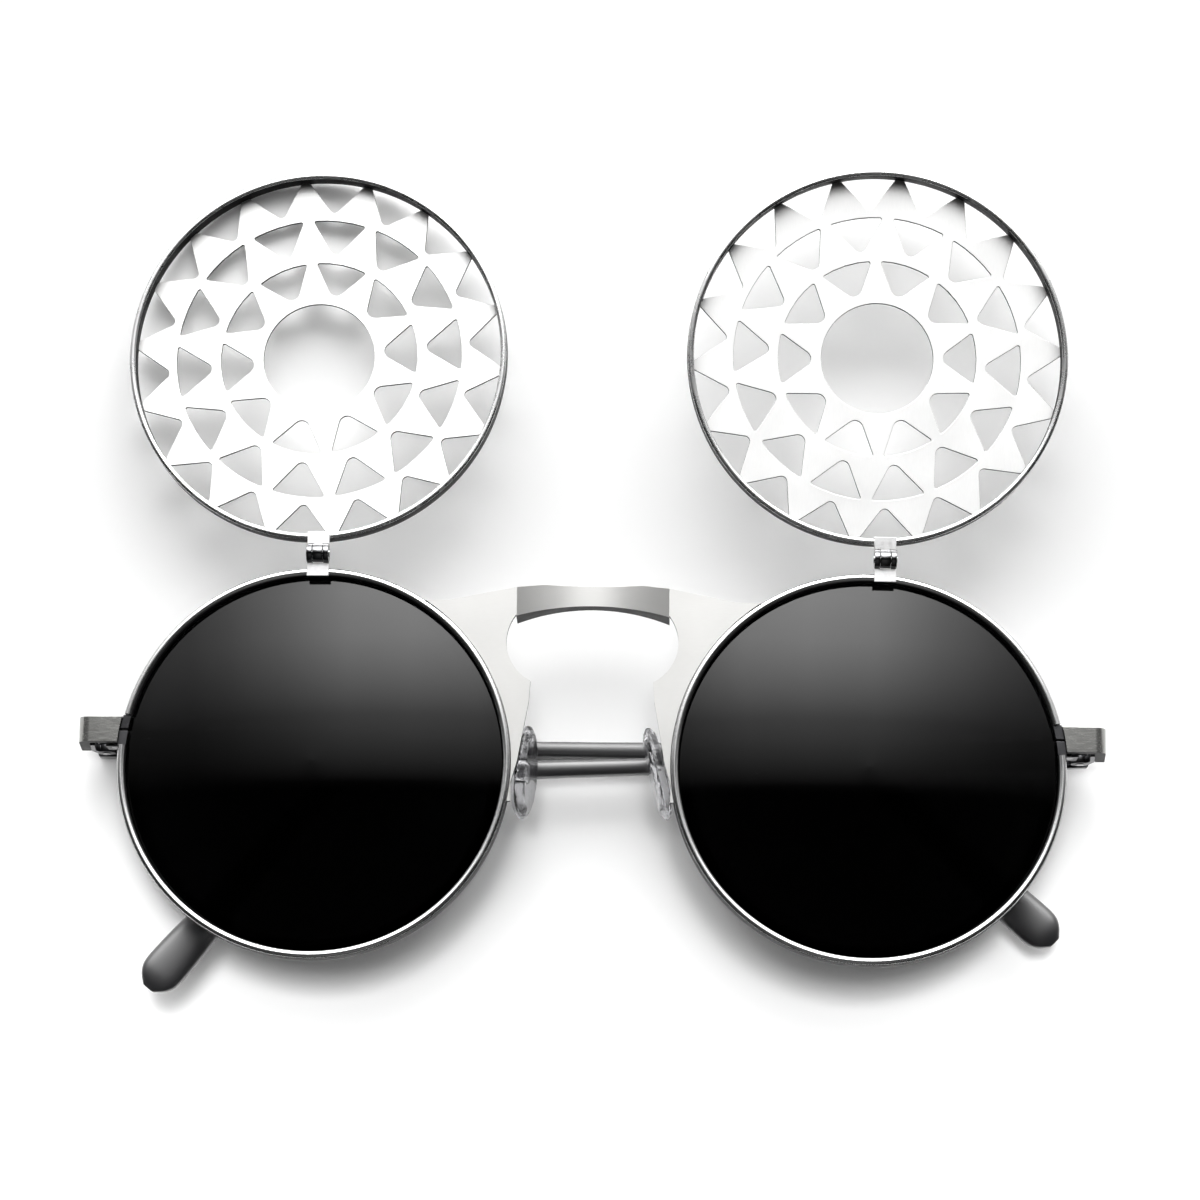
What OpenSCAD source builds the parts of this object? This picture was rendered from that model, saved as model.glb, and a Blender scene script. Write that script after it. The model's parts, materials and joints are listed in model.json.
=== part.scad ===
// Round sunglasses with a second pair of pierced round covers that flip up on small barrel hinges.
// The front is drawn flat first, x to the right, y up the front and z out of its face.
// Everything is then stood on the three places where the folded glasses touch a table.

/* [Rims and lenses] */
// Radius of the opening of a rim
rim_in_r = 24.75; // [24:0.05:25]
// Distance between the two lenses
bridge_gap = 22.7; // [22:0.1:24]
// Thickness of a rim's wall
rim_wall = 1; // [0.9:0.05:1.2]
// Depth of a rim from its front edge to its back edge
rim_depth = 2.4; // [2.2:0.1:3]
// How far each rim is turned back at its outer side, in degrees
wrap = 2.6; // [1:0.1:4]
// Depth of the groove that holds the lens
groove_depth = 0.4; // [0.3:0.05:0.5]
// Distance from the rim's front edge to the middle of the groove
groove_z = 1.6; // [1.4:0.05:1.8]
// Thickness of a lens
lens_t = 1.8; // [1.5:0.1:2.2]
// Radius of the front face of a lens
lens_dome_r = 150; // [120:5:300]

/* [Bridge] */
// Thickness of the bridge plate
plate_t = 0.8; // [0.6:0.05:1]
// How far the bridge plate lies behind the front of the rims
plate_z = 0.6; // [0.4:0.05:0.8]
// Angle from the top of a rim to the tip of the plate's wing
wing_a = 33.4; // [30:0.2:38]
// Half the length of the arched strap
strap_half = 10; // [9.5:0.1:10.5]
// How far the middle of the strap is set back
strap_rise = 2.5; // [2:0.1:3]
// How far the strap's top edge lies below the top of the lenses
strap_low = 0.75; // [0.4:0.05:1.1]
// Height of the strap at its middle
strap_h = 2.6; // [2.2:0.1:3]
// How much lower the strap's lower edge is at its ends
strap_drop = 1.9; // [1.6:0.1:2.2]
// Depth of the strap's turned lower edge behind the front of the rims
lip_z = 5.7; // [5:0.1:6.2]
// Radius of the round lobe on each side of the nose opening
lobe_r = 5.85; // [5.5:0.05:6]
// Distance of each lobe's centre from the middle
lobe_x = 5.36; // [5:0.02:5.6]
// Distance of the lobes' centres below the strap's top edge
lobe_low = 7.9; // [7.4:0.1:8.4]
// Half the width of the nose opening under the lobes
nose_half = 8; // [7.7:0.05:8.3]

/* [End pieces] */
// Height of the temple line above the lens centres
temple_y = 4.2; // [3:0.1:6]
// Height of the end piece strip
end_h = 3.3; // [3:0.1:3.6]
// Thickness of the end piece strip
end_t = 1.3; // [1.1:0.05:1.4]
// How far the end piece reaches out past the rim
end_reach = 5.03; // [4.8:0.01:5.6]
// Outside radius of the end piece's bend
end_bend_r = 1.5; // [1.4:0.1:2]
// How far the end piece's leg leans out at its end
end_flare = 0.4; // [0:0.05:0.5]
// How far the closing blocks lie behind the front of the rim
block_z = 0.5; // [0.3:0.05:0.7]
// Height of the two closing blocks together
block_h = 4; // [3.8:0.1:4.4]
// Gap between the two closing blocks
block_gap = 0.3; // [0.2:0.05:0.5]
// Radius of the rim screw
rim_screw_r = 0.5; // [0.4:0.05:0.6]

/* [Temple hinges] */
// Depth of the hinge pin behind the front of the rims
hinge_z = 10.9; // [10.5:0.1:12]
// Radius of the hinge knuckles
knuckle_r = 1.25; // [1.2:0.05:1.4]
// Height of the hinge
hinge_h = 3.4; // [3.2:0.1:3.6]
// Height of the middle knuckle
hinge_mid = 1.3; // [1.1:0.05:1.5]
// Radius of the hinge screw
hinge_screw_r = 0.55; // [0.45:0.05:0.65]
// Thickness of the hinge leaf on the end piece
leaf_t = 0.6; // [0.5:0.05:0.7]
// Thickness of the hinge leaf on the temple
arm_leaf_t = 0.65; // [0.5:0.05:0.8]
// Length of the hinge leaf on the temple
arm_leaf_len = 8; // [6:0.5:10]

/* [Temples] */
// Height of the metal bar
bar_h = 3.6; // [3.2:0.1:4]
// Thickness of the metal bar
bar_t = 1.2; // [1:0.05:1.4]
// Length of the metal bar behind the hinge
bar_len = 38; // [34:1:42]
// Length of the bar in front of the hinge
bar_front = 1.3; // [1.1:0.05:1.4]
// Length of a temple from its hinge to its tip
arm_len = 134.5; // [131:0.5:138]
// Distance from the hinge to the bend over the ear
bend_s = 98; // [95:0.5:99]
// Angle of the left temple's bend over the ear
bend_left = 42.5; // [40:0.5:50]
// Angle of the right temple's bend over the ear
bend_right = 48; // [40:0.5:50]
// Radius of the bend over the ear
bend_r = 12; // [10:1:16]
// Height of the sleeve at its front end
sleeve_h = 2.3; // [2.1:0.1:2.6]
// Thickness of the sleeve at its front end
sleeve_t = 2.2; // [2:0.1:2.4]
// Height of the sleeve's paddle near its end
paddle_h = 6.1; // [5.6:0.1:6.5]
// How far the tip turns in
tip_in = 1.5; // [1:0.1:2]
// How far the left temple leans to the table when folded, in degrees
lean_left = 0.9; // [0.8:0.1:1.2]
// How far the right temple leans to the lenses when folded, in degrees
lean_right = -2.4; // [-2.6:0.1:-2.3]
// How far the left temple slopes down, in degrees
slope_left = 0; // [-0.5:0.1:0.5]
// How far the right temple slopes down, in degrees
slope_right = 2.7; // [2.4:0.1:3]

/* [Flip hinges] */
// Distance from the rim's edge to the flip hinge's pin
flip_stand = 1.85; // [1.7:0.05:2]
// Height of the flip hinge's pin above the face of the rim
flip_z = 0.5; // [0.5:0.02:0.6]
// Radius of the flip hinge's knuckles
flip_r = 1.2; // [1.1:0.05:1.3]
// Radius of the flip hinge's pin
flip_pin_r = 0.5; // [0.4:0.05:0.6]
// Width of the flip hinge's leaves
flip_w = 2.9; // [2.7:0.1:3.2]
// Width of the flip hinge's middle knuckle
flip_mid = 1.3; // [1.2:0.05:1.4]
// Thickness of the flip hinge's leaves
flip_leaf_t = 0.45; // [0.4:0.01:0.48]
// How far the left flip hinge lies outside the lens centre
flip_x_left = 0; // [-0.5:0.1:1]
// How far the right flip hinge lies outside the lens centre
flip_x_right = 2; // [1:0.1:2.5]

/* [Covers] */
// Outside radius of a cover
cover_r = 25.1; // [24.8:0.05:25.4]
// Thickness of the cover's hoop
cover_wall = 0.8; // [0.7:0.05:1]
// Depth of the cover's hoop
cover_depth = 2.4; // [2.2:0.1:2.8]
// Distance from the flip hinge's pin to the hoop
cover_stand = 2; // [1.85:0.05:2.2]
// How far each cover lies outside its lens centre
cover_x = 0.9; // [0:0.1:1.2]
// How far the right cover stands short of the flat open position, in degrees
cover_lift = 4.5; // [0:0.5:10]
// Thickness of the pierced plate
sun_t = 0.5; // [0.4:0.05:0.6]
// Radius of the hole in the middle of the plate
hub_r = 7.4; // [6.5:0.05:7.5]
// Width of the ring round the middle hole
web1 = 1.35; // [1.2:0.05:2]
// Length of the inner openings
tri1 = 4.35; // [4.2:0.05:4.5]
// Width of the ring between the inner and the middle openings
web2 = 1.3; // [1.1:0.05:1.4]
// Length of the middle openings
tri2 = 4.6; // [4.4:0.05:4.7]
// Width of the ring between the middle and the outer openings
web3 = 1.1; // [0.9:0.05:1.2]
// Number of inner openings
count1 = 10; // [9:1:11]
// Number of middle openings
count2 = 14; // [13:1:15]
// Number of outer openings
count3 = 18; // [17:1:19]
// Width of the metal between the inner openings at their base, in degrees
gap1 = 5.5; // [4:0.5:7]
// Width of the metal between the middle openings at their base, in degrees
gap2 = 3.9; // [3:0.1:5]
// Width of the outer spikes at the hoop, in degrees
gap3 = 2.7; // [2:0.1:4]
// How far the left plate is turned in its hoop, in degrees
turn_left = -95.8; // [-180:0.1:180]
// How far the right plate is turned in its hoop, in degrees
turn_right = -16.7; // [-180:0.1:180]

/* [Nose pads] */
// Height of a pad
pad_h = 12.6; // [11:0.1:14]
// Depth of a pad
pad_w = 6.7; // [6:0.1:7]
// Thickness of a pad
pad_t = 1.8; // [1.5:0.1:2]
// Distance of each pad's middle from the middle of the front
pad_x = 8.65; // [8.4:0.05:8.8]
// Height of each pad's middle, below the lens centres when negative
pad_y = -0.4; // [-1:0.1:0.4]
// Depth of each pad's middle behind the front of the rims
pad_z = 5.35; // [5.2:0.05:5.5]
// How far the left pad is splayed, in degrees
pad_splay_left = 16; // [10:1:18]
// How far the right pad is splayed, in degrees
pad_splay_right = 4; // [0:1:10]
// How far the left pad's lower end stands out, in degrees
pad_tilt_left = 4; // [2:1:8]
// How far the right pad's lower end stands out, in degrees
pad_tilt_right = 13; // [8:1:15]
// Radius of the wire that carries a pad
wire_r = 0.55; // [0.45:0.05:0.6]

/* [Fits] */
// Gap round a pin that turns in its bore
run_gap = 0.04; // [0.02:0.01:0.08]
// Gap between pieces that are soldered or seated
seat_gap = 0.02; // [0.01:0.01:0.04]
// Gap between hinge parts that pass each other
side_gap = 0.07; // [0.05:0.01:0.1]

/* [Hidden] */
$fn = 96;
eps = 0.05;
rim_out_r = rim_in_r + rim_wall;
lens_cx = rim_in_r + bridge_gap / 2;
strap_top = rim_in_r - strap_low;
lobe_y = strap_top - lobe_low;
eye_z = -rim_out_r * sin(wrap);
corner_x = lens_cx + rim_out_r + end_reach;
end_front = 2 * eye_z;
hinge_x = corner_x - end_t - 0.15 - knuckle_r;
arm_w = knuckle_r + 0.1 + arm_leaf_t + bar_t / 2;
leg_end = -hinge_z + bar_front + 0.15;
flip_y = rim_out_r + flip_stand;
cover_y = flip_y + cover_stand + cover_r;
cover_in_r = cover_r - cover_wall;
flip_full = flip_mid / 2 + side_gap;
lens_edge = rim_in_r + groove_depth - seat_gap - 0.05;
lens_front = groove_z - (lens_edge - rim_in_r) - 0.02;
dome_z = -lens_front - sqrt(lens_dome_r * lens_dome_r - rim_in_r * rim_in_r);

function unit(v) = v / norm(v);
function signed(v, e) = sign(v) * pow(abs(v), e);
function turn180(a) = a > 180 ? a - 360 : a < -180 ? a + 360 : a;

// Points of an arc of radius r that rounds the corner b between a and c
function corner(a, b, c, r, n) =
  let (u = unit(a - b), v = unit(c - b), h = acos(u * v) / 2)
  let (m = b + unit(u + v) * r / sin(h), p = b + u * r / tan(h) - m, q = b + v * r / tan(h) - m)
  let (s = atan2(p[1], p[0]), d = turn180(atan2(q[1], q[0]) - s))
  [for (k = [0:n]) m + r * [cos(s + d * k / n), sin(s + d * k / n)]];
function rounded(P, R, n = 5) =
  [for (i = [0:len(P) - 1]) each (R[i] == 0 ? [P[i]]
    : corner(P[(i + len(P) - 1) % len(P)], P[i], P[(i + 1) % len(P)], R[i], n))];

// Outline of one sunburst opening: a rounded point at radius a, a curved base at radius b
function tip_at(a, b, w, rho, n, v) =
  n == 0 ? v : tip_at(a, b, w, rho, n - 1,
    let (h = atan(b * sin(w) / (b * cos(w) - v))) a - rho * (1 / sin(h) - 1));
function opening(a, b, w, rho, out) =
  let (v = tip_at(a, b, w, rho, 8, a), p = b * [cos(w), sin(w)], q = b * [cos(w), -sin(w)])
  out > 0 ? rounded([[v, 0], q, q * (1 + out / b), p * (1 + out / b), p], [rho, 0, 0, 0, 0])
    : rounded(concat([[v, 0], q], [for (k = [-1:1]) b * [cos(w * k / 2), sin(w * k / 2)]], [p]),
        [rho, 0.25, 0, 0, 0, 0.25]);

// Centre line of a temple and the size of its section at a distance s from the hinge
function bend_from(b) = bend_s - bend_r * tan(b / 2);
function bend_to(b) = bend_from(b) + bend_r * b * PI / 180;
function arm_a(s, b) = s < bend_from(b) ? 0 : s < bend_to(b) ? (s - bend_from(b)) / bend_r * 180 / PI : b;
function arm_u(s, b) = min(s, bend_from(b)) + bend_r * sin(arm_a(s, b)) + max(0, s - bend_to(b)) * cos(b);
function arm_v(s, b) = -bend_r * (1 - cos(arm_a(s, b))) - max(0, s - bend_to(b)) * sin(b);
function arm_off(s, b) = arm_w - tip_in * pow(max(0, (s - bend_from(b)) / (arm_len - bend_from(b))), 2);
function end_round(s) = let (e = arm_len - s, r = paddle_h / 2) e > r ? 1 : sqrt(1 - pow(1 - max(e, 0.16) / r, 2));
function arm_h(s) = end_round(s) * lookup(s, [[bar_len, sleeve_h], [60, sleeve_h], [bend_s - 15, sleeve_h + 0.4],
  [bend_s, sleeve_h + 0.8], [arm_len - 14, paddle_h - 1.5], [arm_len - 5, paddle_h], [arm_len, paddle_h - 0.5]]);
function arm_t(s) = end_round(s) * lookup(s, [[bar_len, sleeve_t], [60, sleeve_t], [bend_s, sleeve_t + 0.2],
  [arm_len - 16, sleeve_t + 0.4], [arm_len, sleeve_t]]);
sides = 16;
function stations(b) = let (f = bend_from(b), t = bend_to(b), e = arm_len - paddle_h / 2)
  concat([for (k = [0:4]) bar_len + seat_gap + (f - bar_len - seat_gap) * k / 5], [for (k = [0:6]) f + (t - f) * k / 6],
    [for (k = [1:5]) t + (e - t) * k / 5], [for (k = [1:4]) e + paddle_h / 2 * sin(90 * k / 4)]);
function ring_pt(s, b, k) =
  let (c = signed(cos(360 * k / sides), 0.8) * arm_h(s) / 2, t = signed(sin(360 * k / sides), 0.8) * arm_t(s) / 2)
  [arm_u(s, b) + c * sin(arm_a(s, b)), arm_v(s, b) + c * cos(arm_a(s, b)), arm_off(s, b) + t];
// The same point on the folded glasses, for side 1 or -1
function arm_pt(side, lean, slope, p) =
  let (u = p[0] * cos(slope) + p[1] * sin(slope), v = p[1] * cos(slope) - p[0] * sin(slope))
  [side * (hinge_x - u * cos(lean) + p[2] * sin(lean)), temple_y + v, -hinge_z - u * sin(lean) - p[2] * cos(lean)];
function arm_pts(side, lean, slope, b, from, to) = [for (s = stations(b), k = [0:sides - 1])
  if (s > from && s < to) arm_pt(side, lean, slope, ring_pt(s, b, k))];

// The plane that the glasses stand on: the left cover's edge and the left temple
function eye_pt(side, p) = [side * (lens_cx + p[0] * cos(wrap) + p[2] * sin(wrap)), p[1],
  eye_z - p[0] * sin(wrap) + p[2] * cos(wrap)];
function cover_pt(side, lift, p) = let (y = p[1] - flip_y, z = p[2] - flip_z)
  eye_pt(side, [p[0], flip_y + y * cos(lift) - z * sin(lift), flip_z + y * sin(lift) + z * cos(lift)]);
cover_ring = [for (k = [0:71]) cover_pt(-1, 0, [cover_x + cover_r * cos(5 * k), cover_y + cover_r * sin(5 * k),
  -cover_depth])];
arm_near = arm_pts(-1, lean_left, slope_left, bend_left, 0, bend_from(bend_left) * 0.7);
arm_far = arm_pts(-1, lean_left, slope_left, bend_left, bend_from(bend_left) * 0.7, arm_len + 1);
function lowest(P, n) = let (d = [for (p = P) p * n], m = min(d)) [for (i = [0:len(P) - 1]) if (d[i] == m) P[i]][0];
function ground(n, k) = k == 0 ? n : ground(let (a = lowest(cover_ring, n), b = lowest(arm_near, n),
  c = lowest(arm_far, n), m = unit(cross(c - b, a - b))) m[2] < 0 ? -m : m, k - 1);
up = ground([0, -0.17, 0.98], 6);
tilt = atan2(up[1], up[2]);
roll = -atan2(up[0], norm([up[1], up[2]]));
function stood(p) = let (y = p[1] * cos(tilt) - p[2] * sin(tilt), z = p[1] * sin(tilt) + p[2] * cos(tilt))
  [p[0] * cos(roll) + z * sin(roll), y, z * cos(roll) - p[0] * sin(roll)];
end_low = [for (z = [end_front - end_bend_r, leg_end], y = [-1, 1], x = [0, 1])
  [corner_x + (z == leg_end ? end_flare : 0), temple_y + y * end_h / 2, z]];
x_max = max([for (p = end_low) stood(p)[0]]);
x_min = min([for (p = end_low) stood([-p[0], p[1], p[2]])[0]]);
y_max = max([for (side = [-1, 1], k = [0:71], z = [0, 1]) stood(cover_pt(side, side > 0 ? cover_lift : 0,
  [cover_x + cover_r * cos(5 * k), cover_y + cover_r * sin(5 * k), -cover_depth * z]))[1]]);
y_min = min([for (p = arm_pts(1, lean_right, slope_right, bend_right, 0, arm_len + 1)) stood(p)[1]]);
z_min = stood(lowest(cover_ring, up))[2];

// Stands the glasses on the table
module stand()
  translate([-(x_max + x_min) / 2, -(y_max + y_min) / 2, -z_min]) rotate([tilt, roll, 0]) children();

// Everything is drawn for the right side and mirrored for the left one
module on(side) {
  stand() if (side < 0) mirror([1, 0, 0]) children(); else children();
}

// Frame of one lens, with z = 0 on the front of the rim
module eye() translate([lens_cx, 0, eye_z]) rotate([0, wrap, 0]) children();

// Turns the folded temple about its hinge and slopes it
module arm(lean, slope = 0)
  translate([hinge_x, temple_y, -hinge_z]) rotate([0, -lean, 0]) rotate([0, 0, slope])
    mirror([1, 0, 0]) mirror([0, 0, 1]) children();

// Opened by lift degrees from the flat position
module flipped(x, lift)
  eye() translate([x, flip_y, flip_z]) rotate([lift, 0, 0]) translate([-x, -flip_y, -flip_z]) children();

module ring(r1, r2, h) rotate_extrude() translate([r1, -h]) square([r2 - r1, h]);

module block_space(gap)
  translate([0, temple_y - block_h / 2 - gap, -6]) cube([40, block_h + 2 * gap, 8]);

module rim() difference() {
  rotate_extrude() polygon([[rim_in_r, -0.1], [rim_in_r + 0.1, 0], [rim_out_r - 0.15, 0], [rim_out_r, -0.15],
    [rim_out_r, 0.15 - rim_depth], [rim_out_r - 0.15, -rim_depth], [rim_in_r, -rim_depth],
    [rim_in_r, -groove_z - groove_depth], [rim_in_r + groove_depth, -groove_z],
    [rim_in_r, groove_depth - groove_z]]);
  block_space(seat_gap);
}
module rim_left() color("silver") on(-1) eye() rim();
module rim_right() color("silver") on(1) eye() rim();

module lens() intersection() {
  difference() {
    translate([0, 0, dome_z]) sphere(lens_dome_r, $fn = 200);
    translate([0, 0, dome_z]) sphere(lens_dome_r - lens_t, $fn = 200);
  }
  rotate_extrude() polygon([[0, 3], [rim_in_r - 1.5, 3], [rim_in_r - 0.05, 0.35 - lens_front],
    [rim_in_r - 0.05, -lens_front], [lens_edge, -groove_z], [rim_in_r - 0.05, lens_front - 2 * groove_z],
    [rim_in_r - 0.05, -6], [0, -6]]);
}
module lens_left() color([0.08, 0.08, 0.09, 0.9]) on(-1) eye() lens();
module lens_right() color([0.08, 0.08, 0.09, 0.9]) on(1) eye() lens();

// One wing of the bridge plate, from the strap round the rim to its tail
wing_pt = [rim_out_r * sin(wing_a) - lens_cx, rim_out_r * cos(wing_a)];
strap_slope = 0.19;
strap_end_y = strap_top - (strap_half - 6.5) * strap_slope;
wing = rounded([[-lens_cx + 4, wing_pt[1] - 4], wing_pt, wing_pt + [3.1, 0.05], [-strap_half + eps, strap_end_y],
  [-strap_half + eps, lobe_y], [-nose_half, lobe_y], [-nose_half, lobe_y - lobe_r + 0.4],
  [-nose_half - 0.15, 8.2], [-nose_half - 1.05, 3.2], [-nose_half - 1.55, 0.3],
  [-nose_half - 2.4, -2.7], [-lens_cx + rim_out_r, -5], [-lens_cx + rim_out_r - 4, -5]],
  [0, 0, 3, 0, 0, 0, 0, 1, 2, 1, 0, 0, 0], 4);
strap_arc = (strap_half * strap_half + strap_rise * strap_rise) / (2 * strap_rise);
strap_z = strap_arc - strap_rise - plate_z;
edge_y = strap_top - strap_h;
edge_arc = (strap_half * strap_half + strap_drop * strap_drop) / (2 * strap_drop);

module across(r) translate([0, 50, strap_z]) rotate([90, 0, 0]) cylinder(r = r, h = 60, $fn = 160);
module under(r) translate([0, edge_y - edge_arc, -20]) cylinder(r = r, h = 40, $fn = 160);

module bridge_plate() color("silver") stand() difference() {
  union() {
    for (m = [0, 1]) mirror([m, 0, 0]) translate([0, 0, -plate_z - plate_t]) difference() {
      linear_extrude(plate_t) polygon(wing);
      translate([-lobe_x, lobe_y, -1]) cylinder(r = lobe_r, h = 4);
    }
    intersection() {
      translate([0, 0, -12]) linear_extrude(12) polygon([[-strap_half, edge_y - 6], [strap_half, edge_y - 6],
        [strap_half, strap_end_y], [6.5, strap_top], [-6.5, strap_top], [-strap_half, strap_end_y]]);
      difference() {
        across(strap_arc + plate_t);
        across(strap_arc);
        under(edge_arc);
      }
    }
    difference() {
      intersection() {
        translate([-strap_half, edge_y - 6, -lip_z]) cube([2 * strap_half, 8, lip_z]);
        under(edge_arc + plate_t);
      }
      under(edge_arc);
      across(strap_arc + 0.1);
    }
  }
  for (m = [0, 1]) mirror([m, 0, 0]) eye() translate([0, 0, -10]) cylinder(r = rim_out_r + seat_gap, h = 20);
}

// Closing blocks: the two halves that draw the split rim shut round the lens
block_in = sqrt(rim_in_r * rim_in_r - pow(temple_y + block_h / 2, 2)) - 0.4;
block_mid = sqrt(rim_out_r * rim_out_r - temple_y * temple_y) + 0.05;
block_screw = [block_mid + 0.95, -2.9];
end_seat_z = (end_t + 0.1) / cos(wrap);

module block(top) eye() difference() {
  intersection() {
    union() {
      ring(rim_in_r, rim_out_r + 0.1, 3);
      translate([0, temple_y - 3, -4.3]) cube([block_mid + 2, 6, 4.3 - end_seat_z - 0.2]);
    }
    translate([block_in, temple_y - block_h / 2, -5]) cube([6, block_h, 5 - block_z]);
    translate([block_in, top ? temple_y + block_gap / 2 : temple_y - block_h, -5])
      cube([6, block_h - block_gap / 2, 5]);
  }
  translate([0, 0, -20]) cylinder(r = rim_in_r, h = 40);
  rotate_extrude() polygon([[rim_in_r - 1, groove_depth - groove_z + 1], [rim_in_r + groove_depth, -groove_z],
    [rim_in_r - 1, -groove_z - groove_depth - 1]]);
  translate([block_screw[0], 0, block_screw[1]]) rotate([-90, 0, 0]) cylinder(r = rim_screw_r + seat_gap, h = 12);
  if (top) translate([block_screw[0], temple_y + block_h / 2 - 0.5, block_screw[1]]) rotate([-90, 0, 0])
    cylinder(r = rim_screw_r + 0.4, h = 2);
}
module block_top_left() color("dimgray") on(-1) block(true);
module block_top_right() color("dimgray") on(1) block(true);
module block_low_left() color("dimgray") on(-1) block(false);
module block_low_right() color("dimgray") on(1) block(false);

module rim_screw() eye() translate([block_screw[0], temple_y - block_h / 2, block_screw[1]]) rotate([-90, 0, 0])
  difference() {
    union() {
      cylinder(r = rim_screw_r, h = block_h - 0.2);
      translate([0, 0, block_h - 0.48]) cylinder(r = rim_screw_r + 0.35, h = 0.43);
    }
    translate([-1, -0.1, block_h - 0.25]) cube([2, 0.2, 1]);
  }
module rim_screw_left() color("gray") on(-1) rim_screw();
module rim_screw_right() color("gray") on(1) rim_screw();

// Strip that runs out from the rim and bends back to carry the temple hinge
module end_piece() difference() {
  translate([0, temple_y + end_h / 2, 0]) rotate([90, 0, 0]) linear_extrude(end_h)
    polygon(rounded([[lens_cx + rim_in_r - 2, end_front], [corner_x, end_front], [corner_x + end_flare, leg_end],
      [corner_x + end_flare - end_t, leg_end], [corner_x - end_t, end_front - end_t],
      [lens_cx + rim_in_r - 2, end_front - end_t]], [0, end_bend_r, 0.2, 0.2, end_bend_r * 0.3, 0], 6));
  eye() translate([0, 0, -10]) cylinder(r = rim_out_r + 0.1 + seat_gap, h = 20);
}
module end_piece_left() color("silver") on(-1) end_piece();
module end_piece_right() color("silver") on(1) end_piece();

module pin_y(r, y0, y1) translate([hinge_x, temple_y + y0, -hinge_z]) rotate([-90, 0, 0]) cylinder(r = r, h = y1 - y0);

// Hinge leaf on the end piece, with the two outer knuckles
function leg_in(z) = corner_x - end_t - seat_gap
  + end_flare * max(0, (end_front - end_t - z) / (end_front - end_t - leg_end));
module front_hinge() difference() {
  union() {
    difference() {
      translate([0, temple_y + hinge_h / 2, 0]) rotate([90, 0, 0]) linear_extrude(hinge_h)
        polygon([[leg_in(-5.2), -5.2], [leg_in(leg_end), leg_end], [leg_in(leg_end) - leaf_t, -hinge_z],
          [hinge_x + 0.3, -hinge_z], [leg_in(-9) - leaf_t, -9], [leg_in(-5.2) - leaf_t, -5.2]]);
      translate([hinge_x - 3, temple_y - hinge_mid / 2 - side_gap, -hinge_z - 3])
        cube([6, hinge_mid + 2 * side_gap, 3 + knuckle_r + 0.2]);
    }
    pin_y(knuckle_r, -hinge_h / 2, -hinge_mid / 2 - side_gap);
    pin_y(knuckle_r, hinge_mid / 2 + side_gap, hinge_h / 2);
  }
  pin_y(hinge_screw_r + run_gap, -hinge_h, hinge_h);
}
module front_hinge_left() color("dimgray") on(-1) front_hinge();
module front_hinge_right() color("dimgray") on(1) front_hinge();

module hinge_screw() difference() {
  union() {
    pin_y(hinge_screw_r, -hinge_h / 2 - 0.1, hinge_h / 2 + 0.1);
    pin_y(hinge_screw_r + 0.4, hinge_h / 2 + seat_gap, hinge_h / 2 + 0.4);
  }
  translate([hinge_x - 2, temple_y + hinge_h / 2 + 0.2, -hinge_z - 0.12]) cube([4, 1, 0.24]);
}
module hinge_screw_left() color("gray") on(-1) hinge_screw();
module hinge_screw_right() color("gray") on(1) hinge_screw();

// Flip hinge: the lower leaf is soldered to the rim and carries the two outer knuckles
module pin_x(x, r, x0, x1) translate([x + x0, flip_y, flip_z]) rotate([0, 90, 0]) cylinder(r = r, h = x1 - x0);

module flip_leaf(x) eye() difference() {
  union() {
    translate([x - flip_w / 2, rim_in_r - 0.15, seat_gap]) cube([flip_w, flip_y - rim_in_r + 0.15, flip_leaf_t - seat_gap]);
    pin_x(x, flip_r, -flip_w / 2, flip_w / 2);
  }
  translate([x - flip_full, flip_y - flip_r - 0.1, -5]) cube([2 * flip_full, 5, 10]);
  pin_x(x, flip_pin_r + seat_gap, -3, 3);
}
module flip_leaf_left() color("lightgray") on(-1) flip_leaf(flip_x_left);
module flip_leaf_right() color("lightgray") on(1) flip_leaf(flip_x_right);

module flip_pin(x) eye() pin_x(x, flip_pin_r, -flip_w / 2 - 0.1, flip_w / 2 + 0.1);
module flip_pin_left() color("gray") on(-1) flip_pin(flip_x_left);
module flip_pin_right() color("gray") on(1) flip_pin(flip_x_right);

// The upper leaf is soldered to the hoop and carries the middle knuckle
module cover_leaf(x, lift) flipped(x, lift) difference() {
  union() {
    translate([x - flip_w / 2, flip_y + flip_r + 0.1, seat_gap])
      cube([flip_w, cover_y - cover_in_r + 0.15 - flip_y - flip_r - 0.1, flip_leaf_t - seat_gap]);
    translate([x - flip_mid / 2, flip_y, seat_gap]) cube([flip_mid, flip_r + 0.2, flip_leaf_t - seat_gap]);
    pin_x(x, flip_r, -flip_mid / 2, flip_mid / 2);
  }
  pin_x(x, flip_pin_r + run_gap, -3, 3);
}
module cover_leaf_left() color("lightgray") on(-1) cover_leaf(flip_x_left, 0);
module cover_leaf_right() color("lightgray") on(1) cover_leaf(flip_x_right, cover_lift);

module cover_rim() translate([cover_x, cover_y, 0]) rotate_extrude()
  polygon([[cover_in_r, 0], [cover_r - 0.12, 0], [cover_r, -0.12], [cover_r, 0.12 - cover_depth],
    [cover_r - 0.12, -cover_depth], [cover_in_r, -cover_depth]]);
module cover_rim_left() color("lightgray") on(-1) flipped(flip_x_left, 0) cover_rim();
module cover_rim_right() color("lightgray") on(1) flipped(flip_x_right, cover_lift) cover_rim();

// Pierced plate with three rings of rounded triangles that point to the middle
r1 = hub_r + web1;
r2 = r1 + tri1 + web2;
r3 = r2 + tri2 + web3;
function webs(n, gap) = 180 / n - gap / 2;

module openings(n, P) for (k = [0:n - 1]) rotate([0, 0, (k + 0.5) * 360 / n]) translate([0, 0, -1])
  linear_extrude(3) polygon(P);

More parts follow.
